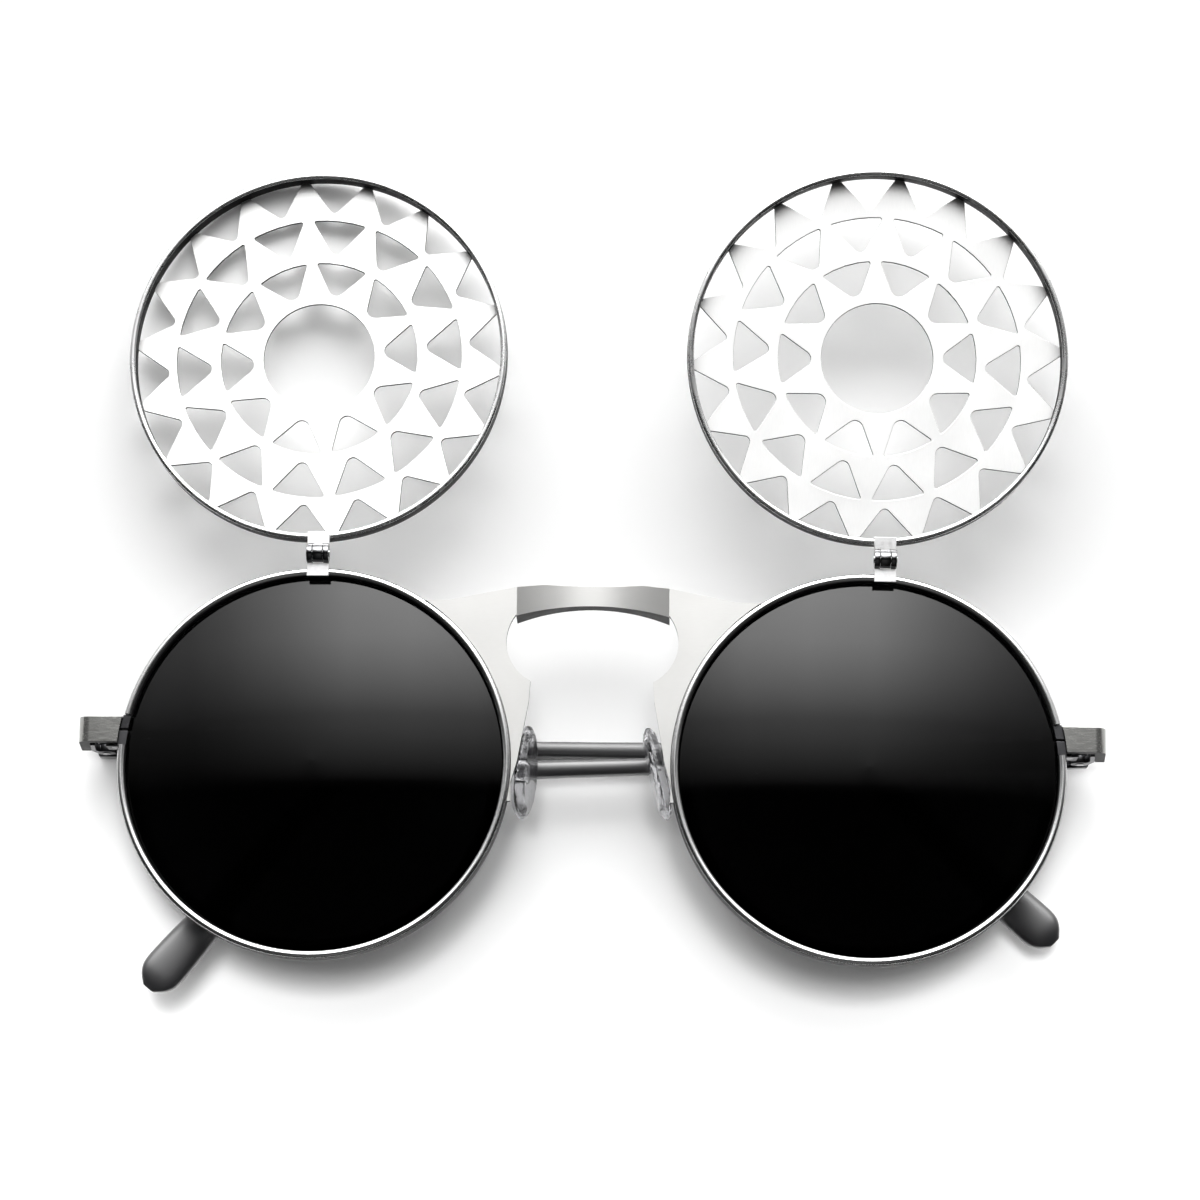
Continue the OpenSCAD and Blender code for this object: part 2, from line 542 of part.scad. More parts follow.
module cover_plate(turn) translate([cover_x, cover_y, -cover_depth + 0.02]) rotate([0, 0, turn]) difference() {
  cylinder(r = cover_in_r - seat_gap, h = sun_t);
  translate([0, 0, -1]) cylinder(r = hub_r, h = 3);
  openings(count1, opening(r1, r1 + tri1, webs(count1, gap1), 1.1, 0));
  openings(count2, opening(r2, r2 + tri2, webs(count2, gap2), 0.9, 0));
  openings(count3, opening(r3, cover_in_r, webs(count3, gap3), 0.7, 1));
}
module cover_plate_left() color("whitesmoke") on(-1) flipped(flip_x_left, 0) cover_plate(turn_left);
module cover_plate_right() color("whitesmoke") on(1) flipped(flip_x_right, cover_lift) cover_plate(turn_right);

// Temple leaf with the middle knuckle, then the flat bar, drawn along x from the hinge pin
module temple_hinge(lean) arm(lean) difference() {
  union() {
    rotate([-90, 0, 0]) translate([0, 0, -hinge_mid / 2]) cylinder(r = knuckle_r, h = hinge_mid);
    translate([0, -hinge_mid / 2, 0]) cube([knuckle_r, hinge_mid, knuckle_r + 0.2]);
    translate([0, -hinge_h / 2 + 0.2, knuckle_r + 0.1]) cube([arm_leaf_len, hinge_h - 0.4, arm_leaf_t - seat_gap]);
  }
  rotate([-90, 0, 0]) translate([0, 0, -3]) cylinder(r = hinge_screw_r + run_gap, h = 6);
}
module temple_hinge_left() color("dimgray") on(-1) temple_hinge(lean_left);
module temple_hinge_right() color("dimgray") on(1) temple_hinge(lean_right);

tang_end = bend_s - 11;
tang_h = 0.9;
tang_t = 0.7;
module temple_bar() union() {
  translate([0, 0, arm_w - bar_t / 2]) linear_extrude(bar_t) polygon(rounded([[-bar_front, -bar_h / 2],
    [bar_len, -bar_h / 2], [bar_len, bar_h / 2], [-bar_front, bar_h / 2]], [0.3, 1.3, 1.3, 0.3], 8));
  translate([bar_len - 1, -tang_h / 2, arm_w - tang_t / 2]) cube([tang_end - bar_len + 1, tang_h, tang_t]);
}
module temple_bar_left() color("gray") on(-1) arm(lean_left, slope_left) temple_bar();
module temple_bar_right() color("gray") on(1) arm(lean_right, slope_right) temple_bar();

// Sleeve: one loft along the centre line, bored for the tang of the bar
module temple_sleeve(b) difference() {
  polyhedron(points = [for (s = stations(b), k = [0:sides - 1]) ring_pt(s, b, k)],
    faces = concat([[for (k = [0:sides - 1]) k]],
      [for (i = [0:len(stations(b)) - 2], k = [0:sides - 1]) let (a = i * sides, c = a + sides, n = (k + 1) % sides)
        each [[a + k, c + k, c + n], [a + k, c + n, a + n]]],
      [[for (k = [sides - 1:-1:0]) (len(stations(b)) - 1) * sides + k]]));
  translate([bar_len - 2, -tang_h / 2 - run_gap, arm_w - tang_t / 2 - run_gap])
    cube([tang_end - bar_len + 2.1, tang_h + 2 * run_gap, tang_t + 2 * run_gap]);
}
module temple_sleeve_left() color([0.05, 0.05, 0.05]) on(-1) arm(lean_left, slope_left) temple_sleeve(bend_left);
module temple_sleeve_right() color([0.05, 0.05, 0.05]) on(1) arm(lean_right, slope_right) temple_sleeve(bend_right);

// Nose pads: z of this frame points out of the pad's back, to the rim
module pad_at(splay, tilt_out)
  translate([pad_x, pad_y, -pad_z]) rotate([0, 0, tilt_out]) rotate([0, 90 + splay, 0]) children();

module egg(k, h) linear_extrude(h) polygon([for (a = [0:15:345]) let (c = cos(a), s = sin(a))
  [k * pad_w / 2 * c * (1 - 0.12 * s), k * pad_h / 2 * signed(s, 0.95)]]);

tab_z = pad_t / 2 + 1.2;
module nose_pad(splay, tilt_out) pad_at(splay, tilt_out) difference() {
  union() {
    hull() {
      translate([0, 0, -pad_t / 2]) egg(0.82, 0.1);
      translate([0, 0, -pad_t * 0.15]) egg(1, pad_t * 0.3);
      translate([0, 0, pad_t / 2 - 0.1]) egg(0.86, 0.1);
    }
    translate([-0.6, -0.85, pad_t / 2 - 0.2]) cube([1.2, 1.7, 1.4]);
    translate([-0.6, 0, tab_z]) rotate([0, 90, 0]) cylinder(r = 0.85, h = 1.2);
  }
  translate([-2, 0, tab_z]) rotate([0, 90, 0]) cylinder(r = 0.35 + run_gap, h = 4);
}
module nose_pad_left() color([0.85, 0.87, 0.88, 0.5]) on(-1) nose_pad(pad_splay_left, pad_tilt_left);
module nose_pad_right() color([0.85, 0.87, 0.88, 0.5]) on(1) nose_pad(pad_splay_right, pad_tilt_right);

// Box of the pad arm, with ears either side of the pad's tab, and the bent wire to the back of the rim
box_h = 2.3;
box_t = 2.9;
box_z = pad_t / 2 + 0.35;
wire_y = 5.4;
wire_bend = 1.6;
wire_top = [lens_cx - sqrt(pow(rim_in_r + wire_r + 0.07, 2) - wire_y * wire_y), wire_y, -rim_depth - 0.1];
function box_top(splay, out) = let (d = box_z + box_t - wire_r, h = box_h / 2 - 0.3)
  [pad_x + d * cos(splay) * cos(out) - h * sin(out), pad_y + d * cos(splay) * sin(out) + h * cos(out),
    -pad_z - d * sin(splay)];
module pad_arm(splay, tilt_out) {
  e = box_top(splay, tilt_out) - wire_top;
  drop = -e[2] - wire_bend;
  run = norm([e[0], e[1]]) - wire_bend;
  difference() {
    union() {
      pad_at(splay, tilt_out) difference() {
        translate([-1.25, -box_h / 2, box_z]) cube([2.5, box_h, box_t]);
        translate([-0.6 - side_gap, -2, 0]) cube([1.2 + 2 * side_gap, 4, tab_z + 0.95]);
      }
      translate(wire_top) rotate([0, 0, atan2(e[0], -e[1])]) {
        translate([0, 0, -drop]) cylinder(r = wire_r, h = drop, $fn = 32);
        translate([0, -wire_bend, -drop]) rotate([0, 90, 0]) rotate_extrude(angle = 90, $fn = 64)
          translate([wire_bend, 0]) circle(r = wire_r, $fn = 32);
        translate([0, -wire_bend, -drop - wire_bend]) rotate([90, 0, 0]) cylinder(r = wire_r, h = run, $fn = 32);
      }
    }
    pad_at(splay, tilt_out) translate([-2, 0, tab_z]) rotate([0, 90, 0]) cylinder(r = 0.35 + run_gap, h = 4);
  }
}
module pad_arm_left() color("silver") on(-1) pad_arm(pad_splay_left, pad_tilt_left);
module pad_arm_right() color("silver") on(1) pad_arm(pad_splay_right, pad_tilt_right);

module pad_screw(splay, tilt_out) pad_at(splay, tilt_out) translate([0, 0, tab_z]) rotate([0, 90, 0]) union() {
  translate([0, 0, -1.4]) cylinder(r = 0.35, h = 2.6);
  translate([0, 0, -1.25 - 0.3 - seat_gap]) cylinder(r = 0.65, h = 0.3);
}
module pad_screw_left() color("gray") on(-1) pad_screw(pad_splay_left, pad_tilt_left);
module pad_screw_right() color("gray") on(1) pad_screw(pad_splay_right, pad_tilt_right);

rim_left();
rim_right();
lens_left();
lens_right();
bridge_plate();
block_top_left();
block_top_right();
block_low_left();
block_low_right();
rim_screw_left();
rim_screw_right();
end_piece_left();
end_piece_right();
front_hinge_left();
front_hinge_right();
hinge_screw_left();
hinge_screw_right();
pad_arm_left();
pad_arm_right();
pad_screw_left();
pad_screw_right();
nose_pad_left();
nose_pad_right();
flip_leaf_left();
flip_leaf_right();
flip_pin_left();
flip_pin_right();
cover_rim_left();
cover_rim_right();
cover_plate_left();
cover_plate_right();
cover_leaf_left();
cover_leaf_right();
temple_hinge_left();
temple_hinge_right();
temple_bar_left();
temple_bar_right();
temple_sleeve_left();
temple_sleeve_right();
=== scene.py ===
"""Round flip up sunglasses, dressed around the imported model: finishes, smooth pieces and the studio."""

import json
import math

import bpy
from mathutils import Matrix, Vector


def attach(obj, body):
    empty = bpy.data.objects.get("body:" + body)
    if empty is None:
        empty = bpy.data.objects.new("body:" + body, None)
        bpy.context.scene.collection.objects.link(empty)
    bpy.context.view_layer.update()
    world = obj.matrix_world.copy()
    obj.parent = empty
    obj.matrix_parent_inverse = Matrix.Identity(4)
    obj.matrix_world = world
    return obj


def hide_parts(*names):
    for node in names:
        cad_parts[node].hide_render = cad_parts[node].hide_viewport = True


bl_info = {
    "name": "Flip up sunglasses",
    "version": (1, 0, 0),
    "blender": (4, 5, 0),
    "location": "View3D > Sidebar > Sunglasses",
    "description": "Finishes, smooth pieces and studio for round flip up sunglasses",
    "category": "Object",
}

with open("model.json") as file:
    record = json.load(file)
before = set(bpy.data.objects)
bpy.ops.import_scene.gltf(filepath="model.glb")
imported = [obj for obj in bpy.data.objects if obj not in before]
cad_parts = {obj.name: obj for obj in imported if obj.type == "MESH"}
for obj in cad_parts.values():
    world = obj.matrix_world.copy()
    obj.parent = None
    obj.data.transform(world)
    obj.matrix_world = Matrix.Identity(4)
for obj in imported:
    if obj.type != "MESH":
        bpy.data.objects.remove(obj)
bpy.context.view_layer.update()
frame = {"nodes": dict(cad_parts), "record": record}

MM = 0.001
SIDES = {"left": -1, "right": 1}

# How the front stands on the table, as in the part's source
TILT = math.radians(-8.34555)
ROLL = math.radians(-0.998402)
STAND = (Matrix.Translation(Vector((-0.17354, -24.4043, 16.1106)) * MM)
         @ Matrix.Rotation(ROLL, 4, "Y") @ Matrix.Rotation(TILT, 4, "X"))

# Sizes shared with the part's source, in millimetres
LENS_CX, RIM_IN, RIM_WALL, RIM_DEPTH, WRAP = 36.1, 24.75, 1.0, 2.4, math.radians(2.6)
EYE_Z = -(RIM_IN + RIM_WALL) * math.sin(WRAP)
GROOVE_Z, GROOVE_DEPTH = 1.6, 0.4
LENS_T, DOME_R, LENS_FRONT, LENS_EDGE = 1.8, 150.0, 1.25, 25.08
TEMPLE_Y, BLOCK_H, SEAT_GAP = 4.2, 4.0, 0.02
STRAP_HALF, STRAP_FOOT, KNUCKLE_REACH = 10.2, 20.0, 1.28
FLIP_Y, FLIP_Z, COVER_X, COVER_Y, COVER_LIFT = 27.6, 0.5, 0.9, 54.7, {"left": 0.0, "right": math.radians(4.5)}
COVER_R, COVER_WALL, COVER_DEPTH = 25.1, 0.8, 2.4

# Steps round a rim or hoop and round a lens
RIM_STEPS, LENS_STEPS = 192, 160
# Height of the crown on the front of the rims and of the hoops, and the round on their back edge
RIM_CROWN, HOOP_CROWN, BACK_ROUND = 0.42, 0.25, 0.2
# How far a lens stays inside its rim, and the width of the chamfer on its front
LENS_PLAY, LENS_CHAMFER = 0.05, 0.1
# Radii of the rings on the two faces of a lens
LENS_RINGS = [0.02, 3, 6, 9, 12, 15, 18, 21, 23]
# Edges of a sleeve that stay crisp: sharper than this many degrees, with this crease
SLEEVE_SHARP, SLEEVE_CREASE = 70, 0.9
# Size of the cells and number of passes that soften a nose pad
PAD_CELL, PAD_PASSES = 0.28, 4
# Width of the bevel on the bend of an end piece
END_BEND = 1.45
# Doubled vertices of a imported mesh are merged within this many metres
WELD = 2e-6
# A face is part of a wall or a cut edge when its normal and the axis have less than this cosine; these walls get
# the near-black finish, a painted shade for the dark floor and shadow they mirror
WIRE_WALL, PLATE_WALL, SHEET_WALL = 0.45, 0.80, 0.90
# A face is an upper or lower edge of an end piece, or lies on top of the strap, above this cosine
STRIP_EDGE, STRAP_TOP = 0.75, 0.75


def standing(side, local):
    """Place of a piece drawn in the flat front's frame, for the left or the right side."""
    mirror = Matrix.Diagonal((side, 1, 1, 1))
    return STAND @ mirror @ local


def eye_frame():
    """Frame of one lens, with z = 0 on the front of its rim."""
    return Matrix.Translation(Vector((LENS_CX, 0, EYE_Z)) * MM) @ Matrix.Rotation(WRAP, 4, "Y")


def cover_frame(side_name):
    """Frame of one open cover, with z = 0 on the front of its hoop and its centre at the origin."""
    return (eye_frame() @ Matrix.Translation(Vector((0, FLIP_Y, FLIP_Z)) * MM)
            @ Matrix.Rotation(COVER_LIFT[side_name], 4, "X")
            @ Matrix.Translation(Vector((COVER_X, COVER_Y - FLIP_Y, -FLIP_Z)) * MM))


# ---------------------------------------------------------------- sizes and colours

def length(name, text, value):
    return bpy.props.FloatProperty(name=name, description=text, default=value * MM, unit="LENGTH",
                                   precision=5)


def tint(name, text, value):
    return bpy.props.FloatVectorProperty(name=name, description=text, default=value, subtype="COLOR",
                                         size=3, min=0, max=1)


class FinishSettings(bpy.types.PropertyGroup):
    chrome: tint("Rim metal", "Polished plating of the rims and hoops", (0.90, 0.90, 0.90))
    satin: tint("Plate metal", "Satin brushed metal of the bridge plate", (0.93, 0.925, 0.905))
    sheet: tint("Cover metal", "Bright satin sheet of the pierced plates", (0.92, 0.92, 0.915))
    nickel: tint("End piece metal", "Dark satin nickel of the end pieces", (0.40, 0.40, 0.385))
    # Also used on the knuckles of the leaves as painted shade, so that their lower half reads black
    gunmetal: tint("Bar metal", "Dark plating of the temple bars", (0.22, 0.22, 0.225))
    # Painted shade: near-black colour for walls and cut edges, standing for the shadowed floor and dark surround
    # they mirror
    edge: tint("Edge metal", "Blackened cut edges and inner walls", (0.02, 0.02, 0.02))
    dark: tint("Dark metal", "Blackened metal of closing blocks and temple hinges", (0.10, 0.10, 0.105))
    # Also used on top of the strap as painted shade, darker than the plate it belongs to
    steel: tint("Screw metal", "Steel of the screws and pins", (0.55, 0.55, 0.55))
    smoke: tint("Lens tint", "Smoke tint of the lenses", (0.003, 0.003, 0.0032))
    black: tint("Sleeve black", "Gloss black plastic of the temple sleeves", (0.008, 0.008, 0.009))
    clear: tint("Pad plastic", "Clear soft plastic of the nose pads", (0.72, 0.72, 0.74))


class StudioSettings(bpy.types.PropertyGroup):
    floor_size: length("Floor size", "Side of the square floor", 6000)
    floor_colour: tint("Floor colour", "Paper of the floor", (1.0, 1.0, 1.0))
    camera_distance: length("Camera distance", "From the camera to the plane of the lenses", 600)
    camera_lens: bpy.props.FloatProperty(name="Focal length", description="Lens of the camera in millimetres",
                                         default=138.0, unit="CAMERA")


# ---------------------------------------------------------------- shared shader groups

def new_group(name, inputs, outputs):
    """An empty shader node group with named sockets."""
    group = bpy.data.node_groups.new(name, "ShaderNodeTree")
    for label, kind, value in inputs:
        socket = group.interface.new_socket(name=label, in_out="INPUT", socket_type=kind)
        if value is not None:
            socket.default_value = value
    for label, kind in outputs:
        group.interface.new_socket(name=label, in_out="OUTPUT", socket_type=kind)
    return group


def math_node(nodes, links, kind, a, b, clamp=False):
    node = nodes.new("ShaderNodeMath")
    node.operation, node.use_clamp = kind, clamp
    for socket, value in zip(node.inputs, (a, b)):
        if isinstance(value, bpy.types.NodeSocket):
            links.new(value, socket)
        elif value is not None:
            socket.default_value = value
    return node.outputs[0]


def mix_colour(nodes, links, factor, a, b):
    node = nodes.new("ShaderNodeMix")
    node.data_type = "RGBA"
    for socket, value in ((node.inputs[0], factor), (node.inputs[6], a), (node.inputs[7], b)):
        if isinstance(value, bpy.types.NodeSocket):
            links.new(value, socket)
        else:
            socket.default_value = value
    return node.outputs[2]


def brushed_group():
    """Fine drawn scratches along one direction, with broad handling marks."""
    group = new_group("Brushed metal", [
        ("Vector", "NodeSocketVector", None), ("Metal", "NodeSocketColor", (0.7, 0.7, 0.7, 1)),
        ("Roughness", "NodeSocketFloat", 0.3), ("Grain", "NodeSocketFloat", 0.5),
        ("Marks", "NodeSocketFloat", 0.3)],
        [("Color", "NodeSocketColor"), ("Roughness", "NodeSocketFloat"), ("Height", "NodeSocketFloat")])
    nodes, links = group.nodes, group.links
    entry, leave = nodes.new("NodeGroupInput"), nodes.new("NodeGroupOutput")
    grain = nodes.new("ShaderNodeTexNoise")
    grain.inputs["Scale"].default_value = 1.0
    grain.inputs["Detail"].default_value = 4.0
    links.new(entry.outputs["Vector"], grain.inputs["Vector"])
    marks = nodes.new("ShaderNodeTexNoise")
    marks.inputs["Scale"].default_value = 130.0
    marks.inputs["Detail"].default_value = 5.0
    coordinates = nodes.new("ShaderNodeTexCoord")
    links.new(coordinates.outputs["Object"], marks.inputs["Vector"])
    fine = math_node(nodes, links, "SUBTRACT", grain.outputs["Fac"], 0.5)
    fine = math_node(nodes, links, "MULTIPLY", fine, entry.outputs["Grain"])
    broad = math_node(nodes, links, "SUBTRACT", marks.outputs["Fac"], 0.5)
    broad = math_node(nodes, links, "MULTIPLY", broad, entry.outputs["Marks"])
    both = math_node(nodes, links, "ADD", fine, broad)
    shade = math_node(nodes, links, "MULTIPLY", both, 0.35)
    shade = math_node(nodes, links, "ADD", shade, 1.0)
    colour = nodes.new("ShaderNodeVectorMath")
    colour.operation = "SCALE"
    links.new(entry.outputs["Metal"], colour.inputs[0])
    links.new(shade, colour.inputs["Scale"])
    links.new(colour.outputs[0], leave.inputs["Color"])
    rough = math_node(nodes, links, "MULTIPLY", both, 0.5)
    rough = math_node(nodes, links, "ADD", rough, entry.outputs["Roughness"], clamp=True)
    links.new(rough, leave.inputs["Roughness"])
    links.new(fine, leave.inputs["Height"])
    return group


def polish_group():
    """Plating or gloss plastic: a faint haze and specks over an even base."""
    group = new_group("Polished surface", [
        ("Base", "NodeSocketColor", (0.8, 0.8, 0.8, 1)), ("Roughness", "NodeSocketFloat", 0.1),
        ("Haze", "NodeSocketFloat", 0.1), ("Scale", "NodeSocketFloat", 200.0)],
        [("Color", "NodeSocketColor"), ("Roughness", "NodeSocketFloat"), ("Height", "NodeSocketFloat")])
    nodes, links = group.nodes, group.links
    entry, leave = nodes.new("NodeGroupInput"), nodes.new("NodeGroupOutput")
    coordinates = nodes.new("ShaderNodeTexCoord")
    haze = nodes.new("ShaderNodeTexNoise")
    haze.inputs["Detail"].default_value = 3.0
    links.new(coordinates.outputs["Object"], haze.inputs["Vector"])
    links.new(entry.outputs["Scale"], haze.inputs["Scale"])
    spread = math_node(nodes, links, "SUBTRACT", haze.outputs["Fac"], 0.4)
    spread = math_node(nodes, links, "MULTIPLY", spread, entry.outputs["Haze"])
    rough = math_node(nodes, links, "ADD", spread, entry.outputs["Roughness"], clamp=True)
    links.new(rough, leave.inputs["Roughness"])
    shade = math_node(nodes, links, "MULTIPLY", spread, -0.6)
    shade = math_node(nodes, links, "ADD", shade, 1.0)
    colour = nodes.new("ShaderNodeVectorMath")
    colour.operation = "SCALE"
    links.new(entry.outputs["Base"], colour.inputs[0])
    links.new(shade, colour.inputs["Scale"])
    links.new(colour.outputs[0], leave.inputs["Color"])
    links.new(spread, leave.inputs["Height"])
    return group


GROUPS = {}


def shared(name):
    """The shader group of that name, built on first use."""
    if name not in GROUPS:
        GROUPS[name] = {"brushed": brushed_group, "polished": polish_group}[name]()
    return GROUPS[name]


# ---------------------------------------------------------------- materials

def new_material(name, **sockets):
    """A material whose Principled shader carries the constants given."""
    material = bpy.data.materials.new(name)
    material.use_nodes = True
    nodes, links = material.node_tree.nodes, material.node_tree.links
    shader = nodes["Principled BSDF"]
    for label, value in sockets.items():
        shader.inputs[label.replace("_", " ")].default_value = value
    return material, nodes, links, shader


def use_bump(nodes, links, height, shader, strength, distance):
    bump = nodes.new("ShaderNodeBump")
    bump.inputs["Strength"].default_value = strength
    bump.inputs["Distance"].default_value = distance * MM
    links.new(height, bump.inputs["Height"])
    links.new(bump.outputs["Normal"], shader.inputs["Normal"])


def brushed_metal(name, colour, roughness, stretch, grain=0.5, marks=0.3, bump=0.15):
    """Brushed metal whose grain runs along the short component of stretch."""
    material, nodes, links, shader = new_material(name, Metallic=1.0)
    coordinates = nodes.new("ShaderNodeTexCoord")
    mapping = nodes.new("ShaderNodeMapping")
    mapping.inputs["Scale"].default_value = stretch
    links.new(coordinates.outputs["Object"], mapping.inputs["Vector"])
    group = nodes.new("ShaderNodeGroup")
    group.node_tree = shared("brushed")
    links.new(mapping.outputs["Vector"], group.inputs["Vector"])
    group.inputs["Metal"].default_value = (*colour, 1)
    group.inputs["Roughness"].default_value = roughness
    group.inputs["Grain"].default_value = grain
    group.inputs["Marks"].default_value = marks
    links.new(group.outputs["Color"], shader.inputs["Base Color"])
    links.new(group.outputs["Roughness"], shader.inputs["Roughness"])
    use_bump(nodes, links, group.outputs["Height"], shader, bump, 0.05)
    return material


def polished(name, colour, roughness, haze, scale, bump=0.0, **sockets):
    """A plated or moulded surface with the polished group."""
    material, nodes, links, shader = new_material(name, **sockets)
    group = nodes.new("ShaderNodeGroup")
    group.node_tree = shared("polished")
    group.inputs["Base"].default_value = (*colour, 1)
    group.inputs["Roughness"].default_value = roughness
    group.inputs["Haze"].default_value = haze
    group.inputs["Scale"].default_value = scale
    links.new(group.outputs["Color"], shader.inputs["Base Color"])
    links.new(group.outputs["Roughness"], shader.inputs["Roughness"])
    if bump:
        use_bump(nodes, links, group.outputs["Height"], shader, bump, 0.05)
    return material


FINISHES = {}


def make_finishes(finish):
    """All the materials of the object, by name."""
    FINISHES["rim"] = polished("rim_chrome", finish.chrome, 0.22, 0.12, 350, Metallic=1.0)
    FINISHES["hoop"] = polished("hoop_chrome", finish.chrome, 0.26, 0.12, 350, Metallic=1.0)
    FINISHES["plate"] = brushed_metal("plate_satin", finish.satin, 0.31, (1200, 11000, 11000),
                                      grain=0.16, marks=0.12, bump=0.03)
    # Painted shade: the strap takes the darker screw steel instead of the plate's satin, to deepen the dark ends
    # it mirrors
    FINISHES["strap"] = brushed_metal("strap_satin", finish.steel, 0.15, (1200, 11000, 11000),
                                      grain=0.12, marks=0.1, bump=0.02)
    FINISHES["end"] = brushed_metal("end_satin", finish.nickel, 0.24, (700, 9000, 9000),
                                    grain=0.5, marks=0.2, bump=0.08)
    FINISHES["sheet"] = brushed_metal("cover_sheet", finish.sheet, 0.58, (7000, 900, 900),
                                      grain=0.2, marks=0.4, bump=0.04)
    # Painted shade: the knuckles take the dark bar plating instead of the leaf's chrome, so that their mirrored
    # lower band reads black
    FINISHES["knuckle"] = polished("knuckle_plated", finish.gunmetal, 0.16, 0.2, 1500, Metallic=1.0)
    # Painted shade: walls and cut edges near black and almost unreflective, in place of the dark they mirror
    FINISHES["edge"] = polished("dark_edge", finish.edge, 0.45, 0.2, 500, IOR=1.25, Specular_IOR_Level=0.3)
    FINISHES["leaf"] = polished("leaf_plated", finish.chrome, 0.42, 0.5, 1500, bump=0.3, Metallic=1.0)
    FINISHES["bar"] = brushed_metal("bar_gunmetal", finish.gunmetal, 0.28, (600, 9000, 9000), grain=0.6)
    FINISHES["dark"] = polished("blackened_metal", finish.dark, 0.28, 0.3, 500, Metallic=1.0)
    FINISHES["screw"] = brushed_metal("screw_steel", finish.steel, 0.24, (5000, 5000, 5000), grain=0.5)
    FINISHES["lens"] = polished("smoke_lens", finish.smoke, 0.02, 0.01, 60,
                                IOR=1.6, Specular_IOR_Level=0.75, Transmission_Weight=1.0)
    FINISHES["sleeve"] = polished("sleeve_black", finish.black, 0.40, 0.08, 160,
                                  IOR=1.9, Coat_Weight=1.0, Coat_Roughness=0.32)
    FINISHES["pad"] = polished("pad_clear", finish.clear, 0.03, 0.04, 300, IOR=1.45, Transmission_Weight=1.0)


NODE_FINISHES = {
    "rim": "rim", "cover_rim": "hoop", "lens": "lens", "bridge_plate": "plate", "block_top": "dark",
    "block_low": "dark", "rim_screw": "screw", "end_piece": "end", "front_hinge": "dark",
    "hinge_screw": "screw", "pad_arm": "rim", "pad_screw": "screw", "nose_pad": "pad",
    "flip_leaf": "leaf", "flip_pin": "screw", "cover_leaf": "leaf", "cover_plate": "sheet",
    "temple_hinge": "dark", "temple_bar": "bar", "temple_sleeve": "sleeve",
}


def kind_of(node):
    """The node's name without its side."""
    return node.replace("_left", "").replace("_right", "")


def set_finish(piece, name):
    piece.data.materials.clear()
    piece.data.materials.append(FINISHES[name])


# ---------------------------------------------------------------- modelling helpers

BODY_OF = {node: body for body, nodes in frame["record"]["behaviour"]["bodies"].items() for node in nodes}


def deselect():
    if bpy.context.mode != "OBJECT":
        bpy.ops.object.mode_set(mode="OBJECT")
    bpy.ops.object.select_all(action="DESELECT")


def make_active(piece):
    deselect()
    piece.select_set(True)
    bpy.context.view_layer.objects.active = piece


def apply_modifier(piece, kind, **settings):
    """Adds a modifier with these settings and applies it."""
    make_active(piece)
    modifier = piece.modifiers.new(kind.lower(), kind)
    for key, value in settings.items():
        setattr(modifier, key, value)
    bpy.ops.object.modifier_apply(modifier=modifier.name)


def seat(piece, node, finish):
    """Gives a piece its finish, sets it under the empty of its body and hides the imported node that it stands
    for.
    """
    set_finish(piece, finish)
    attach(piece, BODY_OF[node])
    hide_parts(node)


def settle(piece, place):
    """Puts a piece drawn at the origin in its place, with the place in its mesh and its faces outwards."""
    make_active(piece)
    piece.matrix_world = place @ piece.matrix_world
    bpy.ops.object.transform_apply(location=True, rotation=True, scale=True)
    bpy.ops.object.mode_set(mode="EDIT")
    bpy.ops.mesh.select_all(action="SELECT")
    bpy.ops.mesh.normals_make_consistent(inside=False)
    bpy.ops.object.mode_set(mode="OBJECT")


def pick_faces(piece, test):
    """Selects the faces that pass the test and leaves the piece in edit mode."""
    make_active(piece)
    bpy.ops.object.mode_set(mode="EDIT")
    bpy.ops.mesh.select_mode(type="FACE")
    bpy.ops.mesh.select_all(action="DESELECT")
    bpy.ops.object.mode_set(mode="OBJECT")
    for face in piece.data.polygons:
        face.select = test(face)
    bpy.ops.object.mode_set(mode="EDIT")


def refinish(piece, finish, test):
    """Gives the faces that pass the test a finish of their own."""
    piece.data.materials.append(FINISHES[finish])
    piece.active_material_index = len(piece.data.materials) - 1
    pick_faces(piece, test)
    piece.active_material_index = len(piece.data.materials) - 1
    bpy.ops.object.material_slot_assign()
    bpy.ops.mesh.select_mode(type="VERT")
    bpy.ops.object.mode_set(mode="OBJECT")


def is_wall(place, limit):
    """Test for the faces that stand on edge, seen along the z axis of that place."""
    axis = place.to_3x3() @ Vector((0, 0, 1))
    return lambda face: abs(face.normal.dot(axis)) < limit


def smooth(piece, degrees):
    make_active(piece)
    bpy.ops.object.shade_smooth_by_angle(angle=math.radians(degrees))


def arc(centre, radius, start, end, steps):
    """Points of a round in a turned profile, in degrees."""
    return [(centre[0] + radius * math.cos(math.radians(start + (end - start) * k / steps)),
             centre[1] + radius * math.sin(math.radians(start + (end - start) * k / steps)))
            for k in range(steps + 1)]


